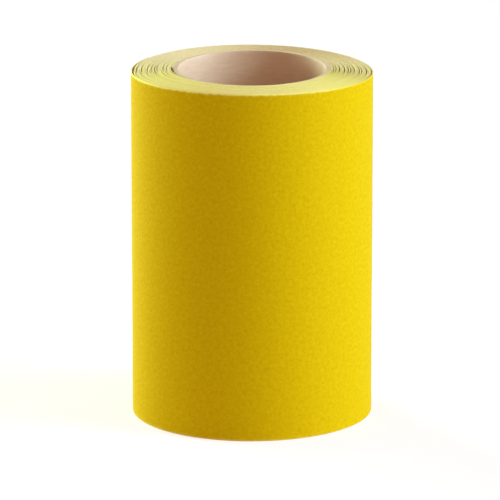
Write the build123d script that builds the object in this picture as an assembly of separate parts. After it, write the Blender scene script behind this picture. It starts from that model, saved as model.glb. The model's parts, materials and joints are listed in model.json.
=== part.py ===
from build123d import *
from math import degrees
import os

# A roll of coated abrasive paper, standing on end.
# The origin is the centre of the bottom end, on the core's axis, and +Z runs up the axis.
# Winding angles are in degrees. They start at -X and run clockwise seen from above,
# so winding angle 0 is -X, 90 is +Y, 180 is +X, 270 is -Y and 360 is -X again, one turn further out.

# Driving dimensions, mm
SHEET_WIDTH = 115.0
BORE_RADIUS = 24.3

# Core: a paper tube of four glued plies, from the bore outwards
LINER_THICKNESS = 0.25
BOARD_THICKNESS = 0.40
GLUE_LINE = 0.02

# Sheet: paper backing with a grit coat on its outer side
BACKING_THICKNESS = 0.27
COAT_THICKNESS = 0.22
BOND_LINE = 0.02
WINDING_GAP = 0.04

# Winding: whole turns, and the angle past the last whole turn where the sheet ends
WHOLE_TURNS = 24
TAIL_END = 30.0

# Free tail: the last stretch of the sheet, in equal staves that hinge on each other
TAIL_STAVES = 6
STAVE_ANGLE = 15.0
STAVE_GAP = 0.1
TAIL_STAND_OFF = 0.15

# Double-sided tape that bonds the sheet's first edge to the core
START_TAPE_ANGLE = 26.0
START_TAPE_THICKNESS = 0.10
START_TAPE_GAP = 0.02

# Closing tape that holds the tail down, at mid height
CLOSING_TAPE_WIDTH = 19.0
CLOSING_TAPE_THICKNESS = 0.10
CLOSING_TAPE_GAP = 0.05
CLOSING_TAPE_ON_TAIL = 14.0
CLOSING_TAPE_ON_ROLL = 24.0
CLOSING_TAPE_STEP = 2.5

# Worked out from the dimensions above
CORE_OUTER_RADIUS = BORE_RADIUS + 2 * LINER_THICKNESS + 2 * BOARD_THICKNESS + 3 * GLUE_LINE
COAT_INNER = BACKING_THICKNESS + BOND_LINE
SHEET_THICKNESS = COAT_INNER + COAT_THICKNESS
PITCH = SHEET_THICKNESS + WINDING_GAP
FIRST_TURN_RADIUS = CORE_OUTER_RADIUS + START_TAPE_THICKNESS + 2 * START_TAPE_GAP
# the two centres of the winding's half turns lie a quarter pitch each side of the axis
CENTRE_SHIFT = PITCH / 4
FIRST_ARC_RADIUS = FIRST_TURN_RADIUS + CENTRE_SHIFT
SHEET_END = 360.0 * WHOLE_TURNS + TAIL_END
TAIL_START = SHEET_END - TAIL_STAVES * STAVE_ANGLE
TAIL_RADIUS = FIRST_TURN_RADIUS + PITCH * WHOLE_TURNS
HALF_STAVE_GAP_ANGLE = degrees(STAVE_GAP / 2 / TAIL_RADIUS)


def tube(inner_radius, thickness):
    """A plain tube as tall as the sheet is wide."""
    ring = Circle(inner_radius + thickness) - Circle(inner_radius)
    return extrude(ring, amount=SHEET_WIDTH)


def core_plies():
    """The core's four plies, each lying on the one inside it."""
    thicknesses = {
        "core_inner_liner": LINER_THICKNESS,
        "core_board_ply_1": BOARD_THICKNESS,
        "core_board_ply_2": BOARD_THICKNESS,
        "core_outer_liner": LINER_THICKNESS,
    }
    plies = {}
    radius = BORE_RADIUS
    for name, thickness in thicknesses.items():
        plies[name] = tube(radius, thickness)
        radius += thickness + GLUE_LINE
    return plies


def winding_arcs(start, end, offset):
    """The winding line between two winding angles, raised outwards by offset: one arc per half turn."""
    arcs = []
    angle = start
    while angle < end:
        half_turn = int(angle // 180)
        stop = min(end, 180.0 * (half_turn + 1))
        centre_x = CENTRE_SHIFT if half_turn % 2 == 0 else -CENTRE_SHIFT
        radius = FIRST_ARC_RADIUS + half_turn * PITCH / 2 + offset
        arcs.append(CenterArc((centre_x, 0), radius, 180 - angle, angle - stop))
        angle = stop
    return arcs


def strip_outline(inner_arcs, outer_arcs):
    """The closed outline between two runs of arcs that go the same way."""
    start_line = Line(inner_arcs[0] @ 0, outer_arcs[0] @ 0)
    end_line = Line(inner_arcs[-1] @ 1, outer_arcs[-1] @ 1)
    return [start_line, *outer_arcs, end_line, *inner_arcs]


def wound_strip(start, end, inner_offset, outer_offset):
    """A layer of the winding, over the full width of the sheet."""
    inner_arcs = winding_arcs(start, end, inner_offset)
    outer_arcs = winding_arcs(start, end, outer_offset)
    face = make_face(strip_outline(inner_arcs, outer_arcs))
    return extrude(face, amount=SHEET_WIDTH)


def wound_sheet():
    """Everything of the sheet but its free tail, as backing and grit coat."""
    end = TAIL_START - HALF_STAVE_GAP_ANGLE
    return {
        "sheet_backing": wound_strip(0, end, 0, BACKING_THICKNESS),
        "sheet_grit_coat": wound_strip(0, end, COAT_INNER, SHEET_THICKNESS),
    }


def tail_staves():
    """The free tail, as one backing and one grit coat per stave."""
    staves = {}
    for index in range(TAIL_STAVES):
        start = TAIL_START + index * STAVE_ANGLE + HALF_STAVE_GAP_ANGLE
        end = start + STAVE_ANGLE - 2 * HALF_STAVE_GAP_ANGLE
        backing_inner = TAIL_STAND_OFF
        backing_outer = backing_inner + BACKING_THICKNESS
        coat_inner = TAIL_STAND_OFF + COAT_INNER
        coat_outer = coat_inner + COAT_THICKNESS
        staves[f"tail_backing_{index + 1}"] = wound_strip(start, end, backing_inner, backing_outer)
        staves[f"tail_grit_coat_{index + 1}"] = wound_strip(start, end, coat_inner, coat_outer)
    return staves


def start_tape():
    """The strip between the core and the first turn, at the sheet's first edge."""
    inner = CORE_OUTER_RADIUS + START_TAPE_GAP
    outer = inner + START_TAPE_THICKNESS
    inner_arcs = [CenterArc((0, 0), inner, 180, -START_TAPE_ANGLE)]
    outer_arcs = [CenterArc((0, 0), outer, 180, -START_TAPE_ANGLE)]
    face = make_face(strip_outline(inner_arcs, outer_arcs))
    return extrude(face, amount=SHEET_WIDTH)


def closing_tape_side(lift):
    """One side of the closing tape: over the tail, down the step at its end, and along the roll."""
    tail_start = SHEET_END - CLOSING_TAPE_ON_TAIL
    roll_start = SHEET_END + CLOSING_TAPE_STEP - 360.0
    roll_end = roll_start + CLOSING_TAPE_ON_ROLL
    tail_top = TAIL_STAND_OFF + SHEET_THICKNESS + lift
    roll_top = SHEET_THICKNESS + lift
    on_tail = winding_arcs(tail_start, SHEET_END, tail_top)
    on_roll = winding_arcs(roll_start, roll_end, roll_top)
    step = Line(on_tail[-1] @ 1, on_roll[0] @ 0)
    return [*on_tail, step, *on_roll]


def closing_tape():
    """The short tape across the end of the tail."""
    inner_side = closing_tape_side(CLOSING_TAPE_GAP)
    outer_side = closing_tape_side(CLOSING_TAPE_GAP + CLOSING_TAPE_THICKNESS)
    face = make_face(strip_outline(inner_side, outer_side))
    bottom = (SHEET_WIDTH - CLOSING_TAPE_WIDTH) / 2
    return Pos(0, 0, bottom) * extrude(face, amount=CLOSING_TAPE_WIDTH)


def all_parts():
    """Every piece of the roll, by node name."""
    return {
        **core_plies(),
        "start_tape": start_tape(),
        **wound_sheet(),
        **tail_staves(),
        "closing_tape": closing_tape(),
    }


os.makedirs("parts", exist_ok=True)
for node, shape in all_parts().items():
    export_step(shape, f"parts/{node}.step")
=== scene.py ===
import json
import math

import bpy
import numpy as np
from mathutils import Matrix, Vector


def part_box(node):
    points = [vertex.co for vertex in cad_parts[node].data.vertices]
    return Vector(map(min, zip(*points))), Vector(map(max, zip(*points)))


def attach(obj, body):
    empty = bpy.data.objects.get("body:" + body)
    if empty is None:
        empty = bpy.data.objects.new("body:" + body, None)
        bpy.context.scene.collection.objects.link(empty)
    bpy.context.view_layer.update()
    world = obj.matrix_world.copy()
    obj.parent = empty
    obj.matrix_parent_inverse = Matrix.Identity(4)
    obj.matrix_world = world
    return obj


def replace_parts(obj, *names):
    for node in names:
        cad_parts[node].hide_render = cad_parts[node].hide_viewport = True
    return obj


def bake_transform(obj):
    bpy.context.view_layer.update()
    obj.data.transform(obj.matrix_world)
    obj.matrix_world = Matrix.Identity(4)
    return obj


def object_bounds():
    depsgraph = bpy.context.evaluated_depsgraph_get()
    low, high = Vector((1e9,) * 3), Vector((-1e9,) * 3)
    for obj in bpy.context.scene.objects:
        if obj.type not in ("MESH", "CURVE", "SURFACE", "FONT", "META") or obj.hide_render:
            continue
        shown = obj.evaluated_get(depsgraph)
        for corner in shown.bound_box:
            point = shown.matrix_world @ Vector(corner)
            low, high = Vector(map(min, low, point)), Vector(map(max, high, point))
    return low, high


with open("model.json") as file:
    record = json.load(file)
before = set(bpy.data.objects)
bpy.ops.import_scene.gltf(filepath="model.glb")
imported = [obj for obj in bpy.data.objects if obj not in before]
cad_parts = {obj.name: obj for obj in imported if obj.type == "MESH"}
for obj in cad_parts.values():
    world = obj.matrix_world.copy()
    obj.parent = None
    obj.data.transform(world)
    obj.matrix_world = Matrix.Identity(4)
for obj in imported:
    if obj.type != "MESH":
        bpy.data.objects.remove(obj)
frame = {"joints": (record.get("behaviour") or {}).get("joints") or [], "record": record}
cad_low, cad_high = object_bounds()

# A roll of coated abrasive paper on a cardboard core. Everything is in metres, in the CAD's frame.
# Winding angles are in radians: 0 is -X, and they run clockwise seen from above, as in the CAD.
MM = 0.001
TURN = 2 * math.pi
SEED = 20

# --- sizes that the frame gives ---------------------------------------------------------------
record = frame["record"]
BORE_RADIUS = next(m for m in record["mounts"] if m["name"] == "core_bore")["dims"]["r_mm"] * MM
SHEET_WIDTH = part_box("sheet_grit_coat")[1].z
GLUE_GAP = 0.02 * MM
FIRST_TURN_RADIUS = -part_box("start_tape")[0].x + GLUE_GAP
OUTER_RADIUS = -cad_low.x
HINGES = [Vector(joint["pos_m"]) for joint in frame["joints"]]
HINGE_ANGLES = [math.pi - math.atan2(h.y, h.x) for h in HINGES]
STAVE_ANGLE = (HINGE_ANGLES[1] - HINGE_ANGLES[0]) % TURN

# --- the sheet as it shows: a little thinner than its CAD layer, so that uneven gaps show between turns ---
WHOLE_TURNS = 24
BACKING = 0.215 * MM
COAT = 0.175 * MM
SHEET = BACKING + COAT
# how far the winding moves out per radian
SHEET_PITCH = (OUTER_RADIUS - FIRST_TURN_RADIUS) / (WHOLE_TURNS + 1) / TURN
SAMPLES_PER_TURN = 360
# places round each turn where its gap, and where its top edge's lift, is set
GAP_CONTROLS = 24
LIFT_CONTROLS = 8

# winding angles of the tail's first hinge, the sheet's end and the outermost turn's start, counted from
# the sheet's first edge
TAIL_ROOT = TURN * (WHOLE_TURNS - 1) + HINGE_ANGLES[0] % TURN
SHEET_END = TAIL_ROOT + len(HINGES) * STAVE_ANGLE
LAST_TURN_OVERLAP = math.radians(8)
LAST_TURN_START = TAIL_ROOT - TURN - LAST_TURN_OVERLAP

# the outermost turn stands off the one under it towards its end, and closes up again at its tape
LOOSE_GAP = 0.24 * MM
LOOSE_START = TURN * (WHOLE_TURNS - 1) + math.radians(225)
LOOSE_FULL = TURN * WHOLE_TURNS - math.radians(30)
LOOSE_LEFT = 0.4

# the share of its turn over which the first turn lies on the core, before it climbs over its own start
HUG = 0.80

# the gaps between turns: the least at a control and between controls, how much the wide ones vary, and
# the shares of a turn's room that an even gap and any gap take, beside 1 for a wide gap
LEAST_GAP, CLOSEST_GAP = 0.012 * MM, 0.008 * MM
GAP_VARIES = 0.15
EVEN_SHARE, LEAST_SHARE = 0.3, 0.03
# the uneven gaps fade into even ones away from -X and +X, as powers of the cosine
LEFT_NARROW, RIGHT_NARROW = 5, 24
# at +X the turns are a little slacker than a true spiral, and at the front and back a little tighter
RIGHT_SLACK, SQUEEZE = 0.40 * MM, 0.28 * MM

# the turns' top edges rise towards the core, more at the back than at the front, and wander a little;
# the outer ones have slipped up and down in two waves round the roll, each with its height and its crest
LIFT_AT_CORE, TILT_AT_CORE = 0.90 * MM, 0.15 * MM
LIFT_OUTSIDE = 0.18 * MM
FIRST_WAVE, FIRST_CREST = 0.48 * MM, math.radians(307)
SECOND_WAVE, SECOND_CREST = 0.30 * MM, math.radians(91)
LAST_LIFT = math.radians(60)
EDGE_WANDER = 0.018 * MM


def smooth(x):
    x = np.clip(x, 0, 1)
    return x * x * (3 - 2 * x)


def curve_through(values, count):
    """Cubic (Catmull-Rom) samples through evenly spaced values, count per interval."""
    padded = np.concatenate([[values[0]], values, [values[-1], values[-1]]])
    out = []
    t = np.arange(count) / count
    for i in range(len(values)):
        a, b, c, d = padded[i:i + 4]
        out.append(0.5 * (2 * b + (c - a) * t + (2 * a - 5 * b + 4 * c - d) * t**2
                          + (3 * b - a - 3 * c + d) * t**3))
    return np.concatenate(out)


def hug(share_of_turn):
    """How far the first turn has climbed over its own start, from 0 to 1, at a share of its turn."""
    return smooth((share_of_turn - HUG) / (1 - HUG))


def wide_gaps(rng, least, most):
    """Marks one turn in each small group of turns, of least to most turns."""
    wide = np.zeros(WHOLE_TURNS)
    first = 0
    while first < WHOLE_TURNS:
        size = rng.integers(least, most + 1)
        wide[min(first + rng.integers(size), WHOLE_TURNS - 1)] = 1
        first += size
    return wide


def uneven_gaps(rng):
    """The gap outside each turn, at each sample of the winding. At the roll's two sides the turns cling
    together in small groups, and the gaps between the groups take nearly all the room."""
    at_left, at_right = wide_gaps(rng, 2, 3), wide_gaps(rng, 1, 3)
    angle = np.arange(GAP_CONTROLS) * TURN / GAP_CONTROLS
    facing = np.cos(angle)
    left = np.clip(facing, 0, 1)**LEFT_NARROW
    right = np.clip(-facing, 0, 1)**RIGHT_NARROW
    draw = 1 - GAP_VARIES + 2 * GAP_VARIES * rng.random((WHOLE_TURNS, GAP_CONTROLS))
    table = at_left[:, None] * left + at_right[:, None] * right + EVEN_SHARE * (1 - left - right)
    table = table * draw + LEAST_SHARE
    room = OUTER_RADIUS - FIRST_TURN_RADIUS - SHEET * (WHOLE_TURNS + 1)
    room -= LOOSE_GAP + LEAST_GAP * WHOLE_TURNS
    turned = angle / TURN
    room = room + (SHEET + room / WHOLE_TURNS) * (turned - hug(turned))
    room = room + RIGHT_SLACK * np.clip(-facing, 0, 1)**2 - SQUEEZE * np.sin(angle)**2
    table = LEAST_GAP + table * room / table.sum(axis=0)
    return curve_through(table.ravel(), SAMPLES_PER_TURN // GAP_CONTROLS)


def winding_table(rng):
    """The sheet's inner radius at each sample of the winding, from the first edge to past the end."""
    gaps = uneven_gaps(rng)
    n = SAMPLES_PER_TURN
    radius = np.empty(n * (WHOLE_TURNS + 1))
    radius[:n] = FIRST_TURN_RADIUS + hug(np.arange(n) / n) * (SHEET + gaps[0])
    for i in range(n, len(radius)):
        radius[i] = radius[i - n] + SHEET + np.maximum(gaps[i - n], CLOSEST_GAP)
    return radius


def lift_table(rng):
    """How far each turn's top edge stands up from the sheet's end, at each sample of the winding."""
    turns = WHOLE_TURNS + 1
    wander = rng.normal(0, 1, (turns, LIFT_CONTROLS)) + rng.normal(0, 1, (turns, 1))
    lift = curve_through(wander.ravel() * EDGE_WANDER, SAMPLES_PER_TURN // LIFT_CONTROLS)
    angle = np.arange(len(lift)) * TURN / SAMPLES_PER_TURN
    ending = 1 - smooth((angle - SHEET_END + LAST_LIFT) / LAST_LIFT)
    at_core = LIFT_AT_CORE + TILT_AT_CORE * np.sin(angle)
    outside = LIFT_OUTSIDE + FIRST_WAVE * np.cos(angle - FIRST_CREST)
    outside += SECOND_WAVE * np.cos(2 * (angle - SECOND_CREST))
    slope = at_core + (outside - at_core) * angle / SHEET_END
    return (lift + slope) * ending


rng = np.random.default_rng(SEED)
RADII = winding_table(rng)
LIFTS = lift_table(rng)
TABLE_ANGLES = np.arange(len(RADII)) * TURN / SAMPLES_PER_TURN


def inner_radius(angle):
    """The radius of the sheet's backing face at a winding angle."""
    loose = smooth((angle - LOOSE_START) / (LOOSE_FULL - LOOSE_START))
    loose = loose - (1 - LOOSE_LEFT) * smooth((angle - LOOSE_FULL) / (SHEET_END - LOOSE_FULL))
    return np.interp(angle, TABLE_ANGLES, RADII) + loose * LOOSE_GAP


def lift(angle):
    return np.interp(angle, TABLE_ANGLES, LIFTS)


def around(angle, radius):
    """x and y of a point at a winding angle."""
    return -radius * np.cos(angle), radius * np.sin(angle)


# --- pebbly noise, shared by every stretch of the sheet ---------------------------------------
PEBBLE_TABLE = 512
CLUMP = 1.15 * MM
GRAIN = 0.62 * MM
GRIT_HEIGHT = 0.095 * MM


def lattice_noise(table, u, v):
    """Smooth value noise from a table of random numbers that repeats."""
    size = table.shape[0]
    iu, iv = np.floor(u).astype(int), np.floor(v).astype(int)
    fu, fv = smooth(u - iu), smooth(v - iv)
    a = table[iu % size, iv % size]
    b = table[(iu + 1) % size, iv % size]
    c = table[iu % size, (iv + 1) % size]
    d = table[(iu + 1) % size, (iv + 1) % size]
    return (a * (1 - fu) + b * fu) * (1 - fv) + (c * (1 - fu) + d * fu) * fv


pebble_table = rng.random((PEBBLE_TABLE, PEBBLE_TABLE))


def grit_height(along, up):
    """Height of the grit over the coat's mean face, from clumps and grains."""
    clumps = lattice_noise(pebble_table, along / CLUMP, up / CLUMP)
    grains = lattice_noise(pebble_table, along / GRAIN + 31.7, up / GRAIN + 17.3)
    return GRIT_HEIGHT * (0.55 * clumps + 0.45 * grains - 0.5)


# --- materials --------------------------------------------------------------------------------
class Nodes:
    """Short helpers for one material's node tree."""

    def __init__(self, name, roughness, specular=0.3):
        self.material = bpy.data.materials.new(name)
        self.material.use_nodes = True
        self.tree = self.material.node_tree
        self.shader = self.tree.nodes["Principled BSDF"]
        self.shader.inputs["Roughness"].default_value = roughness
        self.shader.inputs["Specular IOR Level"].default_value = specular

    def add(self, kind, **settings):
        node = self.tree.nodes.new(kind)
        for key, value in settings.items():
            setattr(node, key, value)
        return node

    def link(self, a, b):
        self.tree.links.new(a, b)

    def sheet_coordinates(self, stretch=(1, 1, 1)):
        """Millimetres along and across the unrolled sheet."""
        uv = self.add("ShaderNodeUVMap", uv_map="Sheet")
        mapping = self.add("ShaderNodeMapping")
        mapping.inputs["Scale"].default_value = stretch
        self.link(uv.outputs["UV"], mapping.inputs["Vector"])
        return mapping.outputs["Vector"]

    def noise(self, vector, scale, detail=2.0, roughness=0.5):
        node = self.add("ShaderNodeTexNoise")
        node.inputs["Scale"].default_value = scale
        node.inputs["Detail"].default_value = detail
        node.inputs["Roughness"].default_value = roughness
        self.link(vector, node.inputs["Vector"])
        return node.outputs["Fac"]

    def cells(self, vector, scale, feature="F1"):
        node = self.add("ShaderNodeTexVoronoi", feature=feature)
        node.inputs["Scale"].default_value = scale
        self.link(vector, node.inputs["Vector"])
        return node.outputs["Distance"]

    def ramp(self, value, stops):
        """Colours along a value from 0 to 1: stops are (place, (r, g, b))."""
        node = self.add("ShaderNodeValToRGB")
        ends = node.color_ramp.elements
        while len(ends) < len(stops):
            ends.new(0.5)
        for element, (place, colour) in zip(ends, stops):
            element.position = place
            element.color = (*colour, 1)
        self.link(value, node.inputs["Fac"])
        return node.outputs["Color"]

    def mix(self, a, b, factor, blend="MIX"):
        node = self.add("ShaderNodeMix", data_type="RGBA", blend_type=blend)
        for index, value in ((6, a), (7, b), (0, factor)):
            if isinstance(value, bpy.types.NodeSocket):
                self.link(value, node.inputs[index])
            else:
                node.inputs[index].default_value = (*value, 1) if index else value
        return node.outputs[2]

    def maths(self, operation, a, b=None):
        node = self.add("ShaderNodeMath", operation=operation)
        for index, value in enumerate((a, b)):
            if isinstance(value, bpy.types.NodeSocket):
                self.link(value, node.inputs[index])
            elif value is not None:
                node.inputs[index].default_value = value
        return node.outputs[0]

    def attribute(self, name):
        node = self.add("ShaderNodeAttribute", attribute_name=name)
        return node.outputs["Fac"]

    def bump(self, height, distance, strength=1.0):
        node = self.add("ShaderNodeBump")
        node.inputs["Strength"].default_value = strength
        node.inputs["Distance"].default_value = distance
        self.link(height, node.inputs["Height"])
        self.link(node.outputs["Normal"], self.shader.inputs["Normal"])

    def colour(self, socket):
        self.link(socket, self.shader.inputs["Base Color"])

    def roughness(self, value, low, high):
        node = self.add("ShaderNodeMapRange")
        node.inputs["To Min"].default_value = low
        node.inputs["To Max"].default_value = high
        self.link(value, node.inputs["Value"])
        self.link(node.outputs["Result"], self.shader.inputs["Roughness"])


def grit_material():
    """Yellow mineral grit in resin, paler along the cut edge, from rubbing and a painted highlight."""
    n = Nodes("grit_coat_yellow", 0.75, 0.015)
    place = n.sheet_coordinates()
    clumps = n.noise(place, 0.85, 3, 0.6)
    grains = n.noise(place, 2.6, 2, 0.6)
    specks = n.cells(place, 3.4)
    base = n.ramp(clumps, [(0.25, (0.505, 0.299, 0.0002)), (0.75, (0.65, 0.421, 0.001))])
    base = n.mix(base, (0.72, 0.49, 0.003), n.maths("MULTIPLY", grains, 0.35))
    dark = n.ramp(specks, [(0.0, (1.0, 1.0, 1.0)), (0.75, (0.86, 0.83, 0.7))])
    base = n.mix(base, dark, 1.0, "MULTIPLY")
    # the grit turns paler along the cut edges: rubbing, and a painted highlight on the top rim and on the
    # front-left of the top end
    base = n.mix(base, (0.91, 0.81, 0.22), n.attribute("wear_and_highlight"))
    n.colour(base)
    height = n.maths("ADD", n.maths("MULTIPLY", grains, 0.6), n.maths("MULTIPLY", specks, -0.4))
    n.bump(height, 0.09 * MM)
    n.roughness(specks, 0.5, 0.8)
    return n.material


def backing_material():
    """Cream paper, with fibres along the sheet."""
    n = Nodes("paper_backing_cream", 0.8, 0.2)
    place = n.sheet_coordinates()
    fibres = n.noise(n.sheet_coordinates((0.35, 1.6, 1)), 1.4, 5, 0.65)
    cloud = n.noise(place, 0.12, 3, 0.5)
    base = n.ramp(fibres, [(0.3, (0.62, 0.45, 0.24)), (0.7, (0.76, 0.60, 0.36))])
    base = n.mix(base, (0.70, 0.52, 0.27), n.maths("MULTIPLY", cloud, 0.4))
    n.colour(base)
    n.bump(fibres, 0.03 * MM)
    n.roughness(cloud, 0.74, 0.88)
    return n.material


def cut_edge_material(name, dark, light):
    """The sheet's cut edge: torn fibres or broken grains, streaked along the cut."""
    n = Nodes(name, 0.8, 0.2)
    streaks = n.noise(n.sheet_coordinates((0.25, 3.0, 1)), 2.0, 4, 0.7)
    grains = n.noise(n.sheet_coordinates(), 3.2, 2, 0.6)
    base = n.ramp(streaks, [(0.3, dark), (0.68, light)])
    shade = n.ramp(grains, [(0.25, (0.8, 0.78, 0.7)), (0.6, (1, 1, 1))])
    n.colour(n.mix(base, shade, 1.0, "MULTIPLY"))
    n.bump(grains, 0.05 * MM)
    n.roughness(grains, 0.7, 0.9)
    return n.material


def board_material(name, dark, light, streak, specular=0.22, rough=(0.7, 0.86)):
    """Recycled board or kraft paper: long fibres and small flecks."""
    n = Nodes(name, 0.78, specular)
    place = n.sheet_coordinates()
    fibres = n.noise(n.sheet_coordinates((streak, 1.0, 1)), 0.9, 6, 0.68)
    flecks = n.cells(place, 0.9)
    cloud = n.noise(place, 0.09, 3, 0.5)
    base = n.ramp(fibres, [(0.28, dark), (0.72, light)])
    base = n.mix(base, dark, n.maths("MULTIPLY", cloud, 0.45))
    fleck = n.ramp(flecks, [(0.05, (0.72, 0.66, 0.58)), (0.16, (1, 1, 1))])
    base = n.mix(base, fleck, 0.6, "MULTIPLY")
    n.colour(base)
    n.bump(fibres, 0.05 * MM)
    n.roughness(cloud, *rough)
    return n.material


def tape_material():
    """Crepe paper tape: fine ridges across its length."""
    n = Nodes("crepe_paper_tape", 0.6, 0.3)
    ridges = n.noise(n.sheet_coordinates((1.0, 0.12, 1)), 1.7, 3, 0.55)
    cloud = n.noise(n.sheet_coordinates(), 0.3, 3, 0.5)
    base = n.ramp(ridges, [(0.3, (0.42, 0.275, 0.135)), (0.7, (0.54, 0.37, 0.195))])
    base = n.mix(base, (0.48, 0.32, 0.16), n.maths("MULTIPLY", cloud, 0.4))
    n.colour(base)
    n.bump(ridges, 0.12 * MM)
    n.roughness(cloud, 0.5, 0.7)
    return n.material


def film_material():
    """Double-sided tape: a cloudy cream film."""
    n = Nodes("double_sided_tape_film", 0.5, 0.4)
    cloud = n.noise(n.sheet_coordinates(), 0.9, 3, 0.6)
    n.colour(n.ramp(cloud, [(0.3, (0.60, 0.56, 0.46)), (0.7, (0.76, 0.72, 0.62))]))
    n.bump(cloud, 0.02 * MM)
    n.roughness(cloud, 0.4, 0.6)
    return n.material


GRIT = grit_material()
PAPER = backing_material()
EDGE_COAT = cut_edge_material("cut_grit_edge", (0.64, 0.58, 0.24), (0.86, 0.82, 0.44))
EDGE_PAPER = cut_edge_material("cut_paper_edge", (0.57, 0.435, 0.21), (0.76, 0.64, 0.36))
SHEET_MATERIALS = [GRIT, PAPER, EDGE_COAT, EDGE_PAPER]
ON_GRIT, ON_PAPER, ON_EDGE_COAT, ON_EDGE_PAPER = range(4)


# --- strips of sheet --------------------------------------------------------------------------
def add_mesh(name, vertices, faces, materials, face_material, corner_uv, wear_and_highlight=None):
    """A mesh object with its materials, its place on the unrolled sheet, and how pale its edges are, from
    rubbing and a painted highlight.
    """
    mesh = bpy.data.meshes.new(name)
    mesh.from_pydata(vertices.tolist(), [], faces)
    for material in materials:
        mesh.materials.append(material)
    mesh.polygons.foreach_set("material_index", np.asarray(face_material, np.int32))
    layer = mesh.uv_layers.new(name="Sheet")
    layer.data.foreach_set("uv", np.asarray(corner_uv, np.float32).ravel())
    if wear_and_highlight is not None:
        mesh.attributes.new("wear_and_highlight", "FLOAT", "POINT").data.foreach_set("value", wear_and_highlight.astype(np.float32))
    mesh.polygons.foreach_set("use_smooth", [True] * len(faces))
    mesh.set_sharp_from_angle(angle=math.radians(38))
    mesh.validate()
    piece = bpy.data.objects.new(name, mesh)
    bpy.context.scene.collection.objects.link(piece)
    return piece


# the cut edge: how far the backing's inner face and the coat's outer face stay below the ridge between
# them. Fine is the outermost turn and the tail, and coarse is the turns inside them.
PAPER_DROP = 0.15 * MM
FINE_DROP, COARSE_DROP = 0.26 * MM, 0.07 * MM
# points round the coat's corner, as shares of a quarter turn, and down its face, in millimetres
FINE_CORNER = [0.2, 0.42, 0.66, 0.86]
FINE_DEPTHS = [0.26, 0.38, 0.52, 0.72, 0.95, 1.25]
COARSE_CORNER = 0.42
COARSE_DEPTHS = [0.07, 0.5, 0.9]
GRID = 0.56 * MM

# the coat's corner is most rubbed and rounded about this winding angle, and least on the far side of the
# roll; the pale rim on it follows the same angle, and is partly real rubbing and partly a painted highlight
# where light catches it
WEAR_AND_HIGHLIGHT_MOST_AT = math.radians(325)
LEAST_ROUND = 0.35
LEAST_RUB_AND_HIGHLIGHT = 0.35
WEAR_AND_HIGHLIGHT_DEPTH = 0.58 * MM
# how far from the cut edge the inner turns' pale edge, with its painted highlight, reaches
COARSE_WEAR_AND_HIGHLIGHT_DEPTH = 0.3 * MM
# how pale the coat's rim gets, from rubbing and a painted highlight where light catches it, and the share of
# that on the bottom rim, where less highlight is painted
RIM_WEAR_AND_HIGHLIGHT = 0.8
BOTTOM_WEAR_AND_HIGHLIGHT = 0.25
# the cut is ragged by this much, in short and long waves
EDGE_RAGGED = 0.035 * MM
RAGGED_WAVES = (0.7 * MM, 2.6 * MM)
# the pale rim, rubbing with a painted highlight, comes and goes in patches: their size along and up the
# sheet, and how far in the pale rim reaches
WEAR_AND_HIGHLIGHT_PATCH = (0.55 * MM, 0.3 * MM)
LEAST_PATCH, PATCH_VARIES = 0.6, 0.8
# the grit lies flatter near a cut edge: full height from this far in, and this share of it at the edge
CALM_FROM, CALM_REACH = 0.1 * MM, 0.5 * MM
LEAST_GRIT = 0.2
# the inner turns' cut edges are pale, with a painted highlight that makes them palest about this angle, and
# this much less pale opposite it
INNER_HIGHLIGHT_AT, INNER_HIGHLIGHT_FALL = math.radians(345), 0.6


def outline(grit):
    """One column of the strip, from the bottom of its backing face round to where it began.

    Each point is a place across the sheet's thickness and a depth below the top edge, and each kind is
    the material from that point to the next. The coat's corner is broken away and the backing's is
    crushed a little, so the cut edge has a ridge where the two meet.
    """
    if grit:
        turned = np.array(FINE_CORNER) * math.pi / 2
        corner, drop = np.sin(turned), FINE_DROP * (1 - np.cos(turned))
        depths = np.array(FINE_DEPTHS) * MM
    else:
        corner, drop = np.array([0.5]), np.array([COARSE_CORNER * COARSE_DROP])
        depths = np.array(COARSE_DEPTHS) * MM
    middle = SHEET_WIDTH - 2 * depths[-1]
    count = int(round(middle / GRID)) if grit else 1
    between = np.arange(1, count) * middle / count + depths[-1]
    across = [0, BACKING, *(BACKING + COAT * corner), *([SHEET] * len(depths))]
    depth = [PAPER_DROP, 0, *drop, *depths]
    kinds = [ON_EDGE_PAPER, ON_EDGE_COAT, *([ON_GRIT] * (len(corner) + len(depths) - 1))]
    bottom = [SHEET_WIDTH - d for d in depth[::-1]]
    across = np.array([*across, *([SHEET] * len(between)), *across[::-1]])
    depth = np.array([*depth, *between, *bottom])
    kinds = np.array([*kinds, *([ON_GRIT] * (len(between) + 1)), *kinds[::-1], ON_PAPER])
    return across, depth, kinds


def wear_and_highlight_share(angle):
    """How much rubbing has rounded the coat's corner at a winding angle, from 0 to 1; it also sets how
    strong the painted highlight on its rim is.
    """
    return np.clip(0.5 + 0.75 * np.cos(angle - WEAR_AND_HIGHLIGHT_MOST_AT), 0, 1)


# a second UV layer for baked textures: the squares that the top and the bottom end take, the strip for the
# faces hidden between the turns, and the corner for the strip's two cut ends
TOP_SIZE, TOP_CORNER = 0.68, (0.01, 0.01)
BOTTOM_SIZE, BOTTOM_CORNER = 0.28, (0.71, 0.68)
HIDDEN_SIZE, HIDDEN_CORNER, HIDDEN_BACKING = (0.12, 0.6), (0.71, 0.02), (0.14, 0)
CUT_CORNER, CUT_SIZE = (0.02, 0.9), 0.01
END_DEPTH = 1 * MM
# upright faces near an end are spread outwards by this share of their depth, so that none is edge on
END_SPREAD = 0.03
LAYOUT_MARGIN = 1.02


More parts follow.
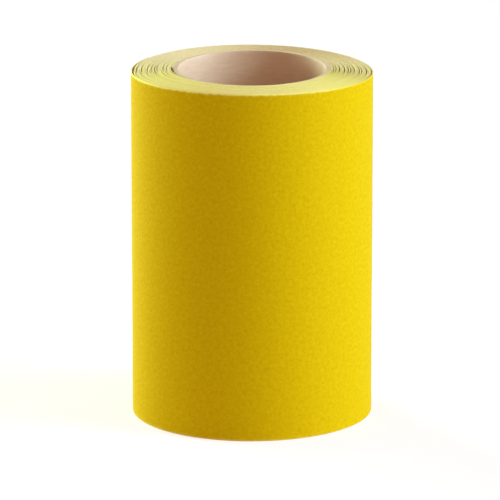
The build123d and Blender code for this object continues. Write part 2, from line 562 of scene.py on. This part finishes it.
def lay_out_ends(mesh, x, y, along, depth, corners):
    """The second UV layer of the inner turns. The top end as seen from above takes most of it."""
    column, row = corners
    at_top = depth[row].max(axis=-1) <= END_DEPTH
    at_bottom = depth[row].min(axis=-1) >= SHEET_WIDTH - END_DEPTH
    on_backing = row[..., 2] == 0
    seen = np.stack([x[column, row], y[column, row]], axis=-1) / (2 * LAYOUT_MARGIN * OUTER_RADIUS) + 0.5
    hidden = np.stack([along[column] / along[-1], depth[row] / SHEET_WIDTH], axis=-1)
    place = hidden * HIDDEN_SIZE + HIDDEN_CORNER
    place[on_backing] += HIDDEN_BACKING
    place[at_bottom] = (seen * BOTTOM_SIZE + BOTTOM_CORNER)[at_bottom]
    place[at_top] = (seen * TOP_SIZE + TOP_CORNER)[at_top]
    place = place.reshape(-1, 2)
    cut = np.arange(len(mesh.loops) - len(place))
    cut = np.stack([cut % 4, cut // 4], axis=-1) * CUT_SIZE + CUT_CORNER
    layer = mesh.uv_layers.new(name="OFBake")
    layer.data.foreach_set("uv", np.concatenate([place, cut]).astype(np.float32).ravel())


def length_along(angles, inner):
    """How far along the unrolled sheet each column of the strip is."""
    along = np.concatenate([[0], np.cumsum(np.diff(angles) * (inner[1:] + inner[:-1]) / 2)])
    return along + angles[0] * (FIRST_TURN_RADIUS + angles[0] * SHEET_PITCH / 2)


def strip_depths(angles, across, depth, grit):
    """Every point's depth below the top edge. With grit, the coat's corner is rounder where rubbing is
    heavier.
    """
    deep = depth + np.zeros((len(angles), 1))
    if not grit:
        return deep
    rounding = LEAST_ROUND + (1 - LEAST_ROUND) * wear_and_highlight_share(angles)[:, None]
    at_corner = (across > BACKING) & (depth <= FINE_DROP)
    return np.where(at_corner, depth * rounding, deep)


def strip_heights(angles, along, deep):
    """Every point's height, down from a top edge that is lifted and ragged."""
    raised = lift(angles)
    short, long = RAGGED_WAVES
    ragged = lattice_noise(pebble_table, along / short, along * 0 + 5.5) - 0.5
    ragged += lattice_noise(pebble_table, along / long, along * 0 + 9.5) - 0.5
    share = deep / SHEET_WIDTH
    top = SHEET_WIDTH + raised + ragged * EDGE_RAGGED
    bottom = np.maximum(raised, 0) * np.clip(1 - angles / LAST_TURN_START, 0, 1)
    return top[:, None] * (1 - share) + bottom[:, None] * share


def inner_wear_and_highlight(angles, from_edge):
    """How pale each point of the inner turns is: their cut edges are, more so on one side of the roll where
    a highlight is painted, and the faces between them aren't.
    """
    pale_and_lit = 1 - INNER_HIGHLIGHT_FALL * (0.5 - 0.5 * np.cos(angles - INNER_HIGHLIGHT_AT))
    wear_and_highlight = pale_and_lit[:, None] + np.zeros(from_edge.shape)
    wear_and_highlight[:, from_edge[0] >= COARSE_WEAR_AND_HIGHLIGHT_DEPTH] = 0
    return wear_and_highlight


def rim_wear_and_highlight(angles, along, height, depth, from_edge):
    """How pale each point of the fine outline's coat is, from rubbing and a painted highlight on the rim, by
    its distance from the nearer cut edge.
    """
    wear_and_highlight_here = wear_and_highlight_share(angles)[:, None]
    patch_along, patch_up = WEAR_AND_HIGHLIGHT_PATCH
    patchy = LEAST_PATCH + PATCH_VARIES * lattice_noise(pebble_table, along / patch_along, height / patch_up)
    reach = WEAR_AND_HIGHLIGHT_DEPTH * (LEAST_ROUND + (1 - LEAST_ROUND) * wear_and_highlight_here) * patchy
    rubbed_and_lit = RIM_WEAR_AND_HIGHLIGHT * smooth(1.5 - from_edge / reach)
    rubbed_and_lit = rubbed_and_lit * (LEAST_RUB_AND_HIGHLIGHT + (1 - LEAST_RUB_AND_HIGHLIGHT) * wear_and_highlight_here)
    return rubbed_and_lit * np.where(depth > SHEET_WIDTH / 2, BOTTOM_WEAR_AND_HIGHLIGHT, 1)


def strip_mesh(name, angles, grit):
    """A stretch of the sheet along the winding angles given, closed all round."""
    across, depth, kinds = outline(grit)
    columns, profile = len(angles), len(across)
    inner = inner_radius(angles)
    along = length_along(angles, inner)
    deep = strip_depths(angles, across, depth, grit)
    height = strip_heights(angles, along, deep)
    radius = inner[:, None] + across
    from_edge = np.minimum(deep, SHEET_WIDTH - deep)
    if grit:
        here = along[:, None] + 0 * height
        calm = LEAST_GRIT + (1 - LEAST_GRIT) * smooth((from_edge - CALM_FROM) / CALM_REACH)
        outer = across >= SHEET
        radius[:, outer] += (grit_height(here, height) * calm)[:, outer]
        wear_and_highlight = rim_wear_and_highlight(angles, here, height, depth, from_edge)
    else:
        wear_and_highlight = inner_wear_and_highlight(angles, from_edge)
    x, y = around(angles[:, None] + 0 * radius, radius)
    vertices = np.stack([x, y, height], axis=-1).reshape(-1, 3)
    place = np.concatenate([[0], np.cumsum(np.hypot(np.diff(across), np.diff(depth)))]) / MM
    i, j = np.meshgrid(np.arange(columns - 1), np.arange(profile), indexing="ij")
    k = (j + 1) % profile
    row, next_row = i * profile, (i + 1) * profile
    faces = np.stack([row + j, next_row + j, next_row + k, row + k], axis=-1).reshape(-1, 4).tolist()
    u0, u1 = along[i] / MM, along[i + 1] / MM
    v0, v1 = place[j], np.where(k == 0, place[-1] + SHEET_WIDTH / MM, place[k])
    uv = np.stack([u0, v0, u1, v0, u1, v1, u0, v1], axis=-1).reshape(-1, 2)
    face_material = kinds[j].ravel().tolist()
    ridge = int(np.argmax(across == BACKING))
    last = profile - 1 - ridge
    for column, flip in ((0, False), (columns - 1, True)):
        base = column * profile
        backing = [base + n for n in (profile - 1, 0, ridge, last)]
        coat = [base + n for n in range(ridge, last + 1)]
        for ring, kind in ((backing, ON_EDGE_PAPER), (coat, ON_EDGE_COAT)):
            ring = ring[::-1] if flip else ring
            faces.append(tuple(ring))
            face_material.append(kind)
            flat = [(radius.flat[n] / MM, height.flat[n] / MM) for n in ring]
            uv = np.concatenate([uv, flat])
    piece = add_mesh(name, vertices, faces, SHEET_MATERIALS, face_material, uv, wear_and_highlight.ravel())
    if not grit:
        corners = np.stack([i, i + 1, i + 1, i], axis=-1), np.stack([j, j, k, k], axis=-1)
        spread = radius + END_SPREAD * from_edge
        lay_out_ends(piece.data, *around(angles[:, None] + 0 * radius, spread), along, depth, corners)
    return piece


def angles_between(start, end, spacing):
    count = max(int(round((end - start) * OUTER_RADIUS / spacing)), 2)
    return np.linspace(start, end, count + 1)


def make_winding():
    """All the turns under the outermost one."""
    angles = np.arange(0, LAST_TURN_START, TURN / SAMPLES_PER_TURN)
    angles = np.append(angles, LAST_TURN_START)
    piece = strip_mesh("sheet_inner_turns", angles, grit=False)
    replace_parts(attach(piece, "roll"), "sheet_backing")


def make_outer_turn():
    """The outermost turn, up to where the tail begins to lift."""
    piece = strip_mesh("sheet_outer_turn", angles_between(LAST_TURN_START, TAIL_ROOT, GRID), grit=True)
    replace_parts(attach(piece, "roll"), "sheet_grit_coat")


def make_tail():
    """The free tail, in pieces that each span one hinge and meet in mid-stave."""
    bodies = ["roll"] + [f"tail_{i + 1}" for i in range(len(HINGES))]
    start = TAIL_ROOT
    for index in range(len(HINGES)):
        hinge = TAIL_ROOT + index * STAVE_ANGLE
        end = hinge + STAVE_ANGLE / 2
        piece = strip_mesh(f"tail_bend_{index + 1}", angles_between(start, end, GRID), grit=True)
        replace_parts(piece, f"tail_backing_{index + 1}", f"tail_grit_coat_{index + 1}")
        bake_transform(piece)
        start = end
    piece = strip_mesh("tail_end", angles_between(start, SHEET_END, GRID), grit=True)
    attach(piece, bodies[-1])


# --- the core ---------------------------------------------------------------------------------
PLY_SEGMENTS = 256
PLY_GAP = 0.01 * MM
# each end of a ply is softened in two steps
SOFT_STEP, PLY_CORNER = 0.04 * MM, 0.14 * MM
SOFT_EDGE = 0.03 * MM
FUZZ = 0.08 * MM
# the bore's helical seam: the steps it is drawn in, its lead, its half width and its depth
SEAM_STEP, SEAM_LEAD = 2 * MM, 58 * MM
SEAM_REACH, SEAM_DEPTH = 0.45 * MM, 0.05 * MM
# the core stands proud of the sheet's cut edge, more at the back than at the front
CORE_RISE, CORE_TILT = 0.75 * MM, 0.45 * MM
KRAFT_DARK, KRAFT_LIGHT = (0.625, 0.41, 0.25), (0.75, 0.505, 0.345)
BOARD_DARK, BOARD_LIGHT = (0.34, 0.25, 0.17), (0.48, 0.37, 0.26)
RIM_DARK, RIM_LIGHT = (0.56, 0.41, 0.24), (0.72, 0.56, 0.36)


def ply_mesh(name, inner, outer, materials, seam=0.0):
    """One ply of the core: a tube with slightly softened ends, and the helical seam of its strip."""
    segments = PLY_SEGMENTS
    top = SHEET_WIDTH
    ends = np.array([0, SOFT_STEP, PLY_CORNER])
    middle = np.arange(SEAM_STEP, top - SEAM_STEP / 2, SEAM_STEP)
    heights = np.concatenate([ends, middle, top - ends[::-1]])
    inset = SOFT_EDGE * (1 - smooth(np.minimum(heights, top - heights) / PLY_CORNER))
    angle = np.arange(segments) * TURN / segments
    rows = len(heights)
    phase = (angle[:, None] / TURN + heights[None, :] / SEAM_LEAD + 0.37) % 1 - 0.5
    groove = seam * np.exp(-(phase * SEAM_LEAD / SEAM_REACH)**2)
    radius = np.concatenate([inner + inset + groove, outer - inset[::-1] + 0 * groove], axis=1)
    fuzz = lattice_noise(pebble_table, angle * 41, angle * 0 + inner / MM) - 0.5
    height = np.concatenate([heights, heights[::-1]]) + 0 * radius
    height += smooth((height - top + 1 * MM) / (1 * MM)) * fuzz[:, None] * FUZZ
    rise = CORE_RISE + CORE_TILT * np.sin(angle)
    height += rise[:, None] * height / top
    x, y = around(angle[:, None] + 0 * radius, radius)
    vertices = np.stack([x, y, height], axis=-1).reshape(-1, 3)
    faces, face_material, uv = [], [], []
    profile = 2 * rows
    for i in range(segments):
        a0, b0 = i * profile, (i + 1) % segments * profile
        u0, u1 = (k * TURN * inner / segments / MM for k in (i, i + 1))
        for j in range(profile):
            k = (j + 1) % profile
            at_end = j in (rows - 1, profile - 1)
            v0 = height[i, j] / MM
            v1 = v0 + (outer - inner) / MM if at_end else height[i, k] / MM
            faces.append((a0 + j, b0 + j, b0 + k, a0 + k))
            face_material.append(1 if at_end else 0)
            uv += [(u0, v0), (u1, v0), (u1, v1), (u0, v1)]
    return add_mesh(name, vertices, faces, materials, face_material, uv)


def make_core():
    kraft = board_material("kraft_liner_paper", KRAFT_DARK, KRAFT_LIGHT, 0.25, 0.6, (0.42, 0.55))
    board = board_material("grey_brown_board", BOARD_DARK, BOARD_LIGHT, 0.4)
    rim = board_material("cut_board_rim", RIM_DARK, RIM_LIGHT, 0.6)
    inner = BORE_RADIUS
    for node, slot in (("core_inner_liner", "kraft_liner"), ("core_board_ply_1", "core_board"),
                       ("core_board_ply_2", "core_board"), ("core_outer_liner", "kraft_liner")):
        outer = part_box(node)[1].x
        face = kraft if slot == "kraft_liner" else board
        seam = SEAM_DEPTH if node == "core_inner_liner" else 0.0
        piece = ply_mesh(f"{node}_tube", inner, outer, [face, rim], seam)
        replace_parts(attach(piece, "roll"), node)
        inner = outer + PLY_GAP


# --- tapes ------------------------------------------------------------------------------------
TAPE_THICKNESS = 0.10 * MM
TAPE_GRID = 0.3 * MM
START_TAPE_ANGLE = math.radians(26)
# the closing tape: its angles on the tail, down the step at the tail's end and on the roll, its gap to the
# sheet, its crepe, and how unevenly its ends are torn and over what length
CLOSING_ON_TAIL, CLOSING_STEP, CLOSING_ON_ROLL = (math.radians(a) for a in (14, 2.5, 24))
CLOSING_GAP = 0.06 * MM
CREPE_HEIGHT = 0.03 * MM
TORN, TORN_REACH = 0.55 * MM, 3 * MM
# the sizes of the waves that the two ends are torn in, and of the crepe's fine and coarse ridges
TORN_WAVES, TORN_FAR_WAVE = (0.8 * MM, 0.3 * MM), 0.9 * MM
FINE_CREPE, COARSE_CREPE = (0.42 * MM, 3.1 * MM), (2.4 * MM, 2.0 * MM)


def tape_mesh(name, angles, inner, low, high, material, crepe=0.0, torn=0.0):
    """A strip of tape along the winding: its inner face is at the radii given, between two heights."""
    thickness = TAPE_THICKNESS
    rows = max(int(round((high - low) / TAPE_GRID)), 2) + 1 if crepe else 2
    heights = np.linspace(low, high, rows)
    along = np.concatenate([[0], np.cumsum(np.diff(angles) * inner[1:])])
    total = along[-1]
    # the torn ends: the columns near each end are pulled back unevenly
    long, short = TORN_WAVES
    pull = lattice_noise(pebble_table, heights / long, heights * 0 + 2.5)
    pull += 0.5 * lattice_noise(pebble_table, heights / short, heights * 0 + 7.5)
    pull_end = lattice_noise(pebble_table, heights / TORN_FAR_WAVE, heights * 0 + 12.5)
    start_share = smooth(1 - along / TORN_REACH)[:, None] * torn
    end_share = smooth(1 - (total - along) / TORN_REACH)[:, None] * torn
    shifted = along[:, None] + start_share * pull - end_share * pull_end
    angle = np.interp(shifted, along, angles)
    radius = np.interp(shifted, along, inner)
    up = heights + 0 * shifted
    ripple = 0 * shifted
    for share, (size_along, size_up) in ((1, FINE_CREPE), (0.6, COARSE_CREPE)):
        ripple += share * (lattice_noise(pebble_table, shifted / size_along, up / size_up) - 0.5)
    outer = radius + thickness + crepe * ripple
    sides = []
    for r in (radius, outer):
        x, y = around(angle, r)
        sides.append(np.stack([x, y, heights + 0 * r], axis=-1).reshape(-1, 3))
    vertices = np.concatenate(sides)
    columns, size = len(angles), len(angles) * rows
    faces, uv = [], []

    def face(corners):
        faces.append(tuple(corners))
        for corner in corners:
            column, row = divmod(corner % size, rows)
            thick = corner // size * thickness
            uv.append(((shifted[column, row] + thick) / MM, (heights[row] + thick) / MM))

    for i in range(columns - 1):
        for j in range(rows - 1):
            a, b = i * rows + j, (i + 1) * rows + j
            face((a, a + 1, b + 1, b))
            face((size + a, size + b, size + b + 1, size + a + 1))
        for j, at_top in ((0, False), (rows - 1, True)):
            a, b = i * rows + j, (i + 1) * rows + j
            face((a, size + a, size + b, b) if at_top else (a, b, size + b, size + a))
    for i, last in ((0, False), (columns - 1, True)):
        for j in range(rows - 1):
            a = i * rows + j
            face((a, size + a, size + a + 1, a + 1) if not last else (a, a + 1, size + a + 1, size + a))
    return add_mesh(name, vertices, faces, [material], [0] * len(faces), uv)


def make_closing_tape():
    """The tape that holds the tail down: over the sheet's end and onto the turn under it."""
    start = SHEET_END - CLOSING_ON_TAIL
    end = SHEET_END + CLOSING_STEP + CLOSING_ON_ROLL
    angles = angles_between(start, end, TAPE_GRID)
    on_tail = inner_radius(np.minimum(angles, SHEET_END))
    on_roll = inner_radius(np.maximum(angles, SHEET_END) - TURN)
    step = smooth((angles - SHEET_END) / CLOSING_STEP)
    inner = on_tail * (1 - step) + on_roll * step + SHEET + CLOSING_GAP
    low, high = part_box("closing_tape")
    material = tape_material()
    piece = tape_mesh("closing_tape_strip", angles, inner, low.z, high.z, material, CREPE_HEIGHT, TORN)
    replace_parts(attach(piece, f"tail_{len(HINGES)}"), "closing_tape")


def make_start_tape():
    """The tape that bonds the sheet's first edge to the core."""
    low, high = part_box("start_tape")
    angles = angles_between(0, START_TAPE_ANGLE, 1 * MM)
    inner = np.full(len(angles), FIRST_TURN_RADIUS - GLUE_GAP - TAPE_THICKNESS)
    material = film_material()
    piece = tape_mesh("start_tape_strip", angles, inner, low.z, high.z, material)
    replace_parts(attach(piece, "roll"), "start_tape")


# --- studio -----------------------------------------------------------------------------------
TARGET = Vector((0, 0, SHEET_WIDTH / 2))
CAMERA_DISTANCE = 1.676
CAMERA_ELEVATION = math.radians(14.54)
LENS, SENSOR = 365.7, 36.0
SHIFT = (-0.0038, -0.0194)
FLOOR_REACH = 6.0
FLOOR_TINT = (1.05, 0.97, 0.96)
# the floor's glow: distance from the roll, in metres, and strength
FLOOR_GLOW = [(0.06, 0.64), (0.32, 0.52), (1.0, 0.52), (2.4, 1.0)]
WORLD_LIGHT = 0.02
COOL, CLEAR, WARM = (0.80, 1.06, 1.25), (0.80, 1.06, 0.95), (1.22, 0.90, 0.80)
LEMON = (0.84, 1.24, 0.92)
LIGHT_DISTANCE = 2.6
# each light's name, azimuth, elevation, size in metres, strength and colour
LIGHTS = [
    ("key_right", 72, 25, 1.0, 0.81, COOL),
    ("key_right_low", 92, 12, 1.0, 0.77, COOL),
    ("rim_left_back", -140, 16, 1.2, 1.28, CLEAR),
    ("side_left_back", -115, 6, 1.2, 0.87, LEMON),
    ("side_left", -95, 6, 1.2, 0.136, WARM),
    ("fill_front", -15, 12, 2.4, 0.232, WARM),
    ("overhead", 0, 86, 1.6, 0.40, WARM),
]


def make_camera():
    data = bpy.data.cameras.new("camera")
    data.lens, data.sensor_width = LENS, SENSOR
    data.clip_start, data.clip_end = 0.01, 50
    data.shift_x, data.shift_y = SHIFT
    camera = bpy.data.objects.new("camera", data)
    back = Vector((0, -math.cos(CAMERA_ELEVATION), math.sin(CAMERA_ELEVATION)))
    camera.location = TARGET + back * CAMERA_DISTANCE
    camera.rotation_euler = (math.pi / 2 - CAMERA_ELEVATION, 0, 0)
    bpy.context.scene.collection.objects.link(camera)
    bpy.context.scene.camera = camera


def softbox(name, azimuth, elevation, size, strength, colour):
    """A square light aimed at the roll. Azimuth 0 is the camera's side, and 90 is +X."""
    data = bpy.data.lights.new(name, "AREA")
    data.shape, data.size = "SQUARE", size
    data.energy = strength * math.pi**2 * LIGHT_DISTANCE**2
    data.color = colour
    light = bpy.data.objects.new(name, data)
    a, e = math.radians(azimuth), math.radians(elevation)
    away = Vector((math.sin(a) * math.cos(e), -math.cos(a) * math.cos(e), math.sin(e)))
    light.location = TARGET + away * LIGHT_DISTANCE
    light.rotation_mode = "QUATERNION"
    light.rotation_quaternion = away.to_track_quat("Z", "Y")
    light.visible_camera = False
    bpy.context.scene.collection.objects.link(light)


def make_world():
    """White where the camera sees past the floor, and dim as a light."""
    world = bpy.data.worlds.new("studio")
    world.use_nodes = True
    background = world.node_tree.nodes["Background"]
    background.inputs["Color"].default_value = (1, 1, 1, 1)
    path = world.node_tree.nodes.new("ShaderNodeLightPath")
    strength = world.node_tree.nodes.new("ShaderNodeMapRange")
    strength.inputs["To Min"].default_value = WORLD_LIGHT
    strength.inputs["To Max"].default_value = 1.0
    world.node_tree.links.new(path.outputs["Is Camera Ray"], strength.inputs["Value"])
    world.node_tree.links.new(strength.outputs["Result"], background.inputs["Strength"])
    bpy.context.scene.world = world
    bpy.context.scene.view_settings.view_transform = "Standard"


def floor_material():
    """A pale floor whose glow changes with the distance from the roll."""
    n = Nodes("studio_floor_white", 0.9, 0.1)
    tone = n.noise(n.add("ShaderNodeTexCoord").outputs["Object"], 3, 2, 0.5)
    n.colour(n.ramp(tone, [(0.3, (0.34, 0.34, 0.34)), (0.7, (0.36, 0.36, 0.36))]))
    n.shader.inputs["Emission Color"].default_value = (*FLOOR_TINT, 1)
    away = n.add("ShaderNodeVectorMath", operation="LENGTH")
    n.link(n.add("ShaderNodeNewGeometry").outputs["Position"], away.inputs[0])
    share = n.maths("DIVIDE", away.outputs["Value"], FLOOR_REACH)
    stops = [(distance / FLOOR_REACH, (strength, strength, strength)) for distance, strength in FLOOR_GLOW]
    glow = n.ramp(share, stops)
    glow.node.color_ramp.interpolation = "EASE"
    n.link(glow, n.shader.inputs["Emission Strength"])
    return n.material


def make_floor():
    mesh = bpy.data.meshes.new("floor")
    corners = [(x * FLOOR_REACH, y * FLOOR_REACH, 0) for x, y in ((-1, -1), (1, -1), (1, 1), (-1, 1))]
    mesh.from_pydata(corners, [], [(0, 1, 2, 3)])
    mesh.materials.append(floor_material())
    floor = bpy.data.objects.new("floor", mesh)
    floor.location.z = -0.02 * MM
    bpy.context.scene.collection.objects.link(floor)


make_camera()
for light in LIGHTS:
    softbox(*light)
make_world()
make_floor()
make_winding()
make_outer_turn()
make_tail()
make_core()
make_closing_tape()
make_start_tape()
